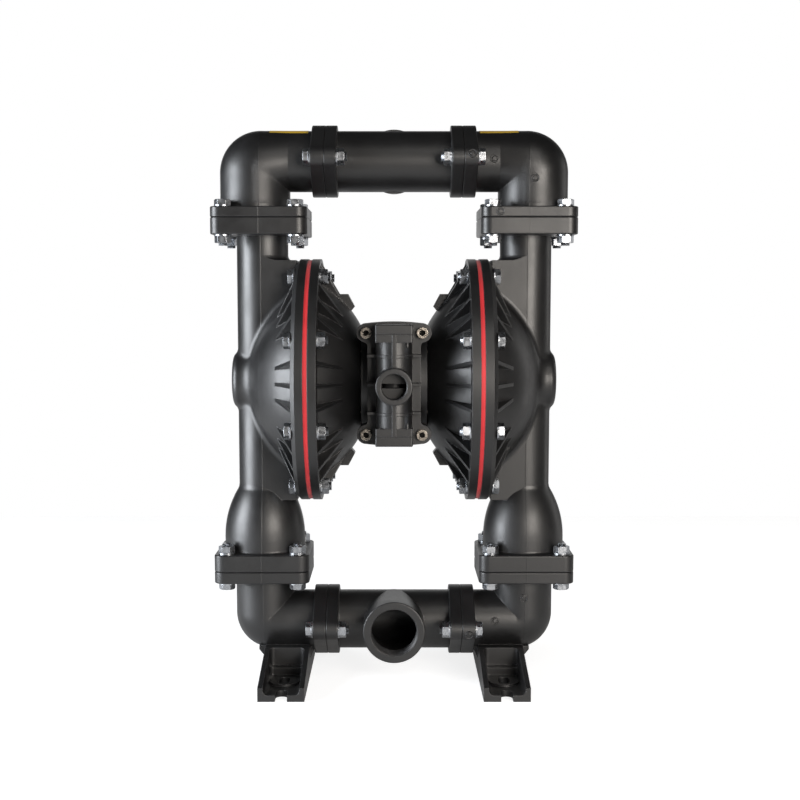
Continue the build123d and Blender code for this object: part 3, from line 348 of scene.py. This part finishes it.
crest_blend, entry, leave = new_group(
    "crest_blend",
    [("Place", "NodeSocketVector", None), ("Plane X", "NodeSocketFloat", 0.1588),
     ("Sharp", "NodeSocketFloat", 0.0012)],
    [("Radius", "NodeSocketFloat")])
spot = put(crest_blend, "ShaderNodeSeparateXYZ", {"Vector": entry.outputs["Place"]})
away = mirrored_gap(crest_blend, spot.outputs["X"], entry.outputs["Plane X"])
near = map_range(crest_blend, away, *CREST_REACH, 1.0, 0.0)
above = math_node(crest_blend, "GREATER_THAN", spot.outputs["Z"], FLANGE_TOP)
share = math_node(crest_blend, "MULTIPLY", near, above)
radius = put(crest_blend, "ShaderNodeMix", {0: share, 2: entry.outputs["Sharp"], 3: CREST_RADIUS},
             data_type="FLOAT")
crest_blend.links.new(radius.outputs[0], leave.inputs["Radius"])

# %% [markdown]
# Bolts show the turns of their thread where they come through a nut. Turning those ridges as geometry
# on forty small bolts would cost far more than they show, so a zigzag wave along the bolt's axis raises
# the surface, only between two given distances along that axis, where the tail of the bolt is.

# %% Group: bolt thread
bolt_thread, entry, leave = new_group(
    "bolt_thread",
    [("Along", "NodeSocketFloat", 0.0), ("Start", "NodeSocketFloat", 0.0),
     ("End", "NodeSocketFloat", 1.0), ("Pitch", "NodeSocketFloat", 0.0015)],
    [("Height", "NodeSocketFloat")])
distance = math_node(bolt_thread, "ABSOLUTE", entry.outputs["Along"])
turns = math_node(bolt_thread, "DIVIDE", distance, entry.outputs["Pitch"])
zigzag = math_node(bolt_thread, "MULTIPLY", math_node(bolt_thread, "PINGPONG", turns, 0.5), 2.0)
after = math_node(bolt_thread, "GREATER_THAN", distance, entry.outputs["Start"])
before = math_node(bolt_thread, "LESS_THAN", distance, entry.outputs["End"])
inside = math_node(bolt_thread, "MULTIPLY", after, before)
bolt_thread.links.new(math_node(bolt_thread, "MULTIPLY", zigzag, inside), leave.inputs["Height"])

# %% [markdown]
# The four screws of the air valve have hexagon sockets, whose insides get a painted shade: near black,
# as the shade of deep recesses, though two of the four catch the light in the picture. Their centres
# are known, so the distance to the nearest of them, measured in the plane of the heads, makes a mask
# that is 1 inside the socket, where the shade is painted.

# %% Group: painted socket shade
SOCKET_RADIUS = 0.0034

painted_socket_shade, entry, leave = new_group(
    "painted_socket_shade",
    [("Place", "NodeSocketVector", None), ("Out", "NodeSocketFloat", 0.0325),
     ("Up", "NodeSocketFloat", 0.059), ("Middle Height", "NodeSocketFloat", 0.362)],
    [("Mask", "NodeSocketFloat")])
spot = put(painted_socket_shade, "ShaderNodeSeparateXYZ", {"Vector": entry.outputs["Place"]})
level = math_node(painted_socket_shade, "SUBTRACT", spot.outputs["Z"], entry.outputs["Middle Height"])
gaps = []
for value, centre in ((spot.outputs["X"], "Out"), (level, "Up")):
    gap = mirrored_gap(painted_socket_shade, value, entry.outputs[centre])
    gaps.append(math_node(painted_socket_shade, "POWER", gap, 2.0))
reach = math_node(painted_socket_shade, "SQRT", math_node(painted_socket_shade, "ADD", *gaps))
painted_socket_shade.links.new(math_node(painted_socket_shade, "LESS_THAN", reach, SOCKET_RADIUS), leave.inputs["Mask"])

# %% [markdown]
# ## The black coat of the castings
# The pump's body is cast aluminium under a satin black coat. It is nearly black, with broad soft
# highlights, so most of what is seen comes from its gloss. The coat is not a metal, and a thin Coat
# layer with its own roughness gives it a slight second sheen. Castings made in two mould halves get the
# same finish with the seam raised in it.

# %% Materials: satin black casting
COAT_BLACK = (0.0065, 0.0065, 0.007, 1)
# Edge colour: partly the coat worn by handling, partly a painted highlight along the edges
COAT_WEAR_AND_HIGHLIGHT = (0.13, 0.13, 0.135, 1)
COAT_ROUGH = 0.44
COAT_EDGE = 0.0012
COAT_BUMP = 0.00008
SEAM_TO_SKIN = 2.0


def black_casting(name, seam=False, crest=False):
    material, tree, shader, place = new_material(name)
    edge_radius = COAT_EDGE
    if crest:
        edge_radius = use_group(tree, crest_blend, {"Place": place, "Sharp": COAT_EDGE}).outputs[0]
    edges = use_group(tree, soft_edges, {"Radius": edge_radius})
    skin = use_group(tree, cast_skin, {
        "Place": place, "Coat": COAT_BLACK, "Wear And Highlight": COAT_WEAR_AND_HIGHLIGHT, "Edge": edges.outputs["Edge"],
        "Roughness": COAT_ROUGH})
    height = skin.outputs["Height"]
    if seam:
        ridge = use_group(tree, parting_seam, {"Place": place}).outputs[0]
        height = math_node(tree, "ADD", height, math_node(tree, "MULTIPLY", ridge, SEAM_TO_SKIN))
    wire_surface(tree, shader, skin.outputs["Colour"], skin.outputs["Roughness"], height,
                 edges.outputs["Normal"], COAT_BUMP)
    shader.inputs["IOR"].default_value = 1.5
    shader.inputs["Specular IOR Level"].default_value = 0.75
    shader.inputs["Coat Weight"].default_value = 0.2
    shader.inputs["Coat Roughness"].default_value = 0.3
    return material


cast_black = black_casting("cast_black")
cast_seamed = black_casting("cast_seamed", seam=True)
cast_upper_elbow = black_casting("cast_upper_elbow", seam=True, crest=True)

# %% [markdown]
# ## Metal finishes
# The hexagons are zinc plated: bright, a little cloudy and slightly cool. The socket screws have a
# warmer, darker plating. Both are metals, so their colour is in the reflection. The inner parts are
# turned or ground steel and bronze. A bolt's finish also gets the thread on its tail.

# %% Materials: metals
METAL_CLOUD = 0.12
METAL_EDGE = 0.0005
ROUGH_SPREAD = 0.07
THREAD_DEPTH = 0.0008
FINE_TO_THREAD = 0.008
# Near-black painted shade for the inside of the valve screws' hexagon sockets
SOCKET_PAINTED_SHADE = (0.02, 0.019, 0.018, 1)


def worked_metal(name, colour, rough, thread=None, sockets=False):
    """Thread is (axis, start, end): the axis of the bolt and the reach of its thread along it."""
    material, tree, shader, place = new_material(name)
    edges = use_group(tree, soft_edges, {"Radius": METAL_EDGE})
    cloudy = put(tree, "ShaderNodeTexNoise", {"Vector": place, "Scale": 260.0, "Detail": 4.0}).outputs[0]
    fine = put(tree, "ShaderNodeTexNoise", {"Vector": place, "Scale": 2600.0, "Detail": 2.0}).outputs[0]
    shade = map_range(tree, cloudy, 0.3, 0.7, 1.0 - METAL_CLOUD, 1.0 + METAL_CLOUD)
    finish = put(tree, "ShaderNodeVectorMath", {0: colour, "Scale": shade}, operation="SCALE").outputs[0]
    # Inside the valve screws' sockets the colour turns near black: a painted shade of the deep recesses
    if sockets:
        socket_shade_mask = use_group(tree, painted_socket_shade, {"Place": place}).outputs[0]
        finish = mix_colour(tree, socket_shade_mask, finish, SOCKET_PAINTED_SHADE)
    roughness = map_range(tree, cloudy, 0.3, 0.7, rough - ROUGH_SPREAD, rough + ROUGH_SPREAD)
    height = math_node(tree, "MULTIPLY", fine, FINE_TO_THREAD)
    if thread:
        axis, start, end = thread
        along = put(tree, "ShaderNodeSeparateXYZ", {"Vector": place}).outputs[axis]
        ridges = use_group(tree, bolt_thread, {"Along": along, "Start": start, "End": end})
        height = math_node(tree, "ADD", height, ridges.outputs["Height"])
    wire_surface(tree, shader, finish, roughness, height, edges.outputs["Normal"], THREAD_DEPTH)
    shader.inputs["Metallic"].default_value = 1.0
    return material


ZINC = (0.5, 0.52, 0.55)
ZINC_ROUGH = 0.3
SCREW = (0.58, 0.52, 0.45)
SCREW_ROUGH = 0.28
zinc_steel = worked_metal("zinc_steel", ZINC, ZINC_ROUGH)
screw_steel = worked_metal("screw_steel", SCREW, SCREW_ROUGH)
# The valve screws carry a painted shade in their sockets
valve_screw_steel_socket_shade = worked_metal("valve_screw_steel_socket_shade", SCREW, SCREW_ROUGH, sockets=True)
turned_steel = worked_metal("turned_steel", (0.6, 0.6, 0.6), 0.35)
ground_steel = worked_metal("ground_steel", (0.78, 0.78, 0.79), 0.16)
bronze = worked_metal("bronze", (0.66, 0.45, 0.22), 0.35)

# The tail of each bolt starts at the outer face of its nut, and the other end lies past the bolt's tip
# or, where the tip points to the middle of the pump, at the middle
TAILS = {
    "zinc_chamber_bolt": ("X", 0.0, 0.0775), "zinc_lower_bolt": ("Z", 0.1644, 1.0),
    "zinc_upper_bolt": ("Z", 0.0, 0.5255), "zinc_joint_bolt": ("X", 0.0, 0.0575),
}
tailed = {name: worked_metal(name, ZINC, ZINC_ROUGH, thread=tail) for name, tail in TAILS.items()}
threaded_bolts = {
    "chamber_bolts": tailed["zinc_chamber_bolt"],
    "suction_flange_bolts": tailed["zinc_lower_bolt"],
    "discharge_flange_bolts": tailed["zinc_upper_bolt"],
    "suction_joint_bolts": tailed["zinc_joint_bolt"],
    "discharge_joint_bolts": tailed["zinc_joint_bolt"],
}

# %% [markdown]
# ## Rubber, plastic and film
# The diaphragms are a bright red elastomer, seen only as the thin edge between the two covers, matte
# with a faint sheen. The seals are black rubber, the muffler and the spool are moulded plastic. A plain
# yellow label is printed film: smooth, with a slight gloss.

# %% Materials: rubber, plastic and film
MOULDED_EDGE = 0.0006
MOULDED_BUMP = 0.00004
MOULDED_STRENGTH = 0.6


def moulded(name, colour, rough, sheen=0.0):
    material, tree, shader, place = new_material(name)
    edges = use_group(tree, soft_edges, {"Radius": MOULDED_EDGE})
    skin = use_group(tree, cast_skin, {
        "Place": place, "Coat": colour, "Wear And Highlight": colour, "Roughness": rough,
        "Stipple Size": 2200.0, "Unevenness": 0.04})
    wire_surface(tree, shader, skin.outputs["Colour"], skin.outputs["Roughness"], skin.outputs["Height"],
                 edges.outputs["Normal"], MOULDED_BUMP, MOULDED_STRENGTH)
    shader.inputs["Sheen Weight"].default_value = sheen
    return material


red_elastomer = moulded("red_elastomer", (0.72, 0.03, 0.04, 1), 0.5, sheen=0.2)
black_rubber = moulded("black_rubber", (0.02, 0.02, 0.02, 1), 0.65)
muffler_plastic = moulded("muffler_plastic", (0.05, 0.05, 0.05, 1), 0.55)
spool_plastic = moulded("spool_plastic", (0.03, 0.03, 0.032, 1), 0.45)
yellow_film = moulded("yellow_film", (0.72, 0.46, 0.03, 1), 0.4)

# %% [markdown]
# ## Dress the solids
# The record says which finish each solid has. Castings made in two mould halves take the seamed finish,
# and each set of bolts the one that knows where its thread is.

# %% Dress the solids
finishes = {
    "cast_black": cast_black, "zinc_steel": zinc_steel, "screw_steel": screw_steel,
    "steel": turned_steel, "shaft_steel": ground_steel, "bronze": bronze,
    "red_elastomer": red_elastomer, "ball_rubber": red_elastomer, "black_rubber": black_rubber,
    "muffler_plastic": muffler_plastic, "spool_plastic": spool_plastic,
}
special = dict(threaded_bolts, valve_block_screws=valve_screw_steel_socket_shade)
for side in SIDES:
    for casting in ("fluid_cap", "suction_elbow"):
        special[f"{casting}_{side}"] = cast_seamed
    special[f"discharge_elbow_{side}"] = cast_upper_elbow
slot_of = {part["node"]: part["material_slot"] for part in frame["record"]["subparts"]}
for name, node in nodes.items():
    for material_slot in node.material_slots:
        material_slot.material = special.get(name, finishes[slot_of[name]])
print("finishes used:", sorted(set(slot_of.values())))

# %% [markdown]
# ## New pieces
# Every new piece is a bmesh that becomes an object at the origin, with its place in its mesh. Normals
# are recalculated outward, because a spin can turn a shape inside out. The piece is told which body it
# moves with, here always the fixed housing, and gets its finish as its material. Only the label's film
# has no finish in the record.

# %% Helper: a finished piece
SAME_PLACE = 1e-6


def finish_piece(name, bm, material):
    """The mesh becomes an object on the housing, with the given material."""
    bmesh.ops.remove_doubles(bm, verts=bm.verts, dist=SAME_PLACE)
    bmesh.ops.recalc_face_normals(bm, faces=bm.faces)
    mesh = bpy.data.meshes.new(name)
    bm.to_mesh(mesh)
    bm.free()
    mesh.materials.append(material)
    piece = bpy.data.objects.new(name, mesh)
    bpy.context.scene.collection.objects.link(piece)
    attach(piece, "housing")
    print(name, "faces:", len(mesh.polygons))


# %% [markdown]
# ## Pipe threads
# All three ports have a female pipe thread. In the solids they are plain bores. A thread is one ridge
# that winds inward: a small triangle, spun about the port's axis while it moves one pitch a turn. The
# triangle's base lies just inside the wall, so that no gap shows, and the ridge starts and ends closed.
# The solids' bores already have the width of the thread's crest, so these ridges stand further in than
# the crest of a true thread, and the bores of the solids give the real size.

# %% Pipe threads
THREAD_STEPS = 72
THREAD_SINK = 0.00015
RIDGE_SHARE = 0.6


def port_thread(name, axis_z, bore, pitch, start, end):
    """Ridge wound about a Y axis at height axis_z, from y = start to y = end."""
    root, tip = bore + THREAD_SINK, bore - RIDGE_SHARE * pitch
    turns = (end - start) / pitch - 1
    bm = bmesh.new()
    corners = [(root, 0.0), (tip, 0.5 * pitch), (root, pitch)]
    points = [bm.verts.new((radius, start + along, axis_z)) for radius, along in corners]
    face = bm.faces.new(points)
    steps = round(THREAD_STEPS * turns)
    bmesh.ops.spin(bm, geom=[face, *face.edges, *face.verts], cent=(0, 0, axis_z), axis=(0, 1, 0),
                   dvec=(0, pitch / THREAD_STEPS, 0), angle=2 * math.pi * turns, steps=steps)
    finish_piece(name, bm, cast_black)


SUCTION_AXIS = 0.065
DISCHARGE_AXIS = 0.624
SHAFT_AXIS = 0.362
PIPE_BORE = 0.0283
PIPE_PITCH = 0.002309
INLET_BORE = 0.01515
INLET_PITCH = 0.0014
port_thread("suction_thread", SUCTION_AXIS, PIPE_BORE, PIPE_PITCH, -0.0735, -0.0495)
port_thread("discharge_thread", DISCHARGE_AXIS, PIPE_BORE, PIPE_PITCH, 0.0305, 0.053)
port_thread("inlet_thread", SHAFT_AXIS, INLET_BORE, INLET_PITCH, -0.1425, -0.1245)

# %% [markdown]
# ## Ejector marks
# The mould pushes each casting out with round pins, and every pin leaves a small round mark with a
# groove around it. One mark is a low profile spun about the vertical, then turned so that it faces the
# way the casting's skin faces at its place. A ray shot at the solid finds that place and direction, so
# each mark sits on the metal wherever the skin curves. The castings of one kind come from one mould, so
# the left one, turned half round, carries its marks at the back.

# %% Ejector marks
# The profile as (distance from the pin's axis, height over the skin): face, groove, rim and its foot
MARK_PROFILE = [(0.0, 0.0007), (0.0022, 0.0007), (0.0029, 0.00005), (0.0036, 0.00005),
                (0.0041, 0.0009), (0.0047, 0.0009), (0.0052, -0.0009)]
MARK_STEPS = 40
RAY_START = 0.5
# Each mark as (node, distance out from the middle, height), looking from the front
MARKS = [
    ("discharge_elbow", 0.1178, 0.6243), ("discharge_elbow", 0.1655, 0.6015),
    ("discharge_elbow", 0.124, 0.5618), ("discharge_elbow", 0.0903, 0.6270),
    ("suction_elbow", 0.1575, 0.0985), ("suction_elbow", 0.1228, 0.0702),
    ("suction_elbow", 0.0895, 0.0610),
]


def skin_at(node, origin, direction):
    """Place and outward direction of a solid's skin where a ray meets it first."""
    hit, place, normal, _ = nodes[node].ray_cast(Vector(origin), Vector(direction))
    if not hit:
        raise ValueError(f"no skin of {node} at {origin}")
    return place, normal


def add_mark(bm, place, normal):
    mark = bmesh.new()
    points = [mark.verts.new((radius, 0, height)) for radius, height in MARK_PROFILE]
    edges = [mark.edges.new(pair) for pair in zip(points, points[1:])]
    bmesh.ops.spin(mark, geom=points + edges, cent=(0, 0, 0), axis=(0, 0, 1), angle=2 * math.pi,
                   steps=MARK_STEPS, use_merge=True)
    bmesh.ops.remove_doubles(mark, verts=mark.verts, dist=SAME_PLACE)
    open_edges = [edge for edge in mark.edges if edge.is_boundary]
    bmesh.ops.holes_fill(mark, edges=open_edges, sides=MARK_STEPS)
    turn = normal.to_track_quat("Z", "Y").to_matrix().to_4x4()
    bmesh.ops.transform(mark, matrix=Matrix.Translation(place) @ turn, verts=mark.verts)
    mesh = bpy.data.meshes.new("mark")
    mark.to_mesh(mesh)
    mark.free()
    bm.from_mesh(mesh)
    bpy.data.meshes.remove(mesh)


marks = bmesh.new()
for node, out, up in MARKS:
    for side, sign in SIDES.items():
        place, normal = skin_at(f"{node}_{side}", (sign * out, -RAY_START * sign, up), (0, sign, 0))
        add_mark(marks, place, normal)
finish_piece("ejector_marks", marks, cast_black)

# %% [markdown]
# ## The blank labels
# On top of each upper elbow lies a yellow label, bare here. It is a thin film laid over the pipe: a
# grid above the elbow, whose points drop along rays until they meet the metal, and then a thickness.

# %% Blank labels
LABEL_OUT = (0.102, 0.148)
LABEL_HALF_WIDTH = 0.0165
LABEL_THICKNESS = 0.00025
LABEL_LIFT = 0.00005
LABEL_CELLS = (24, 18)
ABOVE_ALL = cad_high[2] + 0.01


def blank_label(side, sign):
    bm = bmesh.new()
    bmesh.ops.create_grid(bm, x_segments=LABEL_CELLS[0], y_segments=LABEL_CELLS[1], size=0.5)
    length = LABEL_OUT[1] - LABEL_OUT[0]
    middle = sign * (LABEL_OUT[0] + LABEL_OUT[1]) / 2
    bmesh.ops.scale(bm, vec=(length, 2 * LABEL_HALF_WIDTH, 1), verts=bm.verts)
    bmesh.ops.translate(bm, vec=(middle, 0, ABOVE_ALL), verts=bm.verts)
    for vert in bm.verts:
        place, _ = skin_at(f"discharge_elbow_{side}", vert.co, (0, 0, -1))
        vert.co.z = place.z + LABEL_LIFT
    bmesh.ops.recalc_face_normals(bm, faces=bm.faces)
    bmesh.ops.solidify(bm, geom=list(bm.faces), thickness=-LABEL_THICKNESS)
    finish_piece(f"blank_label_{side}", bm, yellow_film)


for side, sign in SIDES.items():
    blank_label(side, sign)

# %% [markdown]
# ## The view transform
# The render shows its colours through the Standard view transform.

bpy.context.scene.view_settings.view_transform = "Standard"
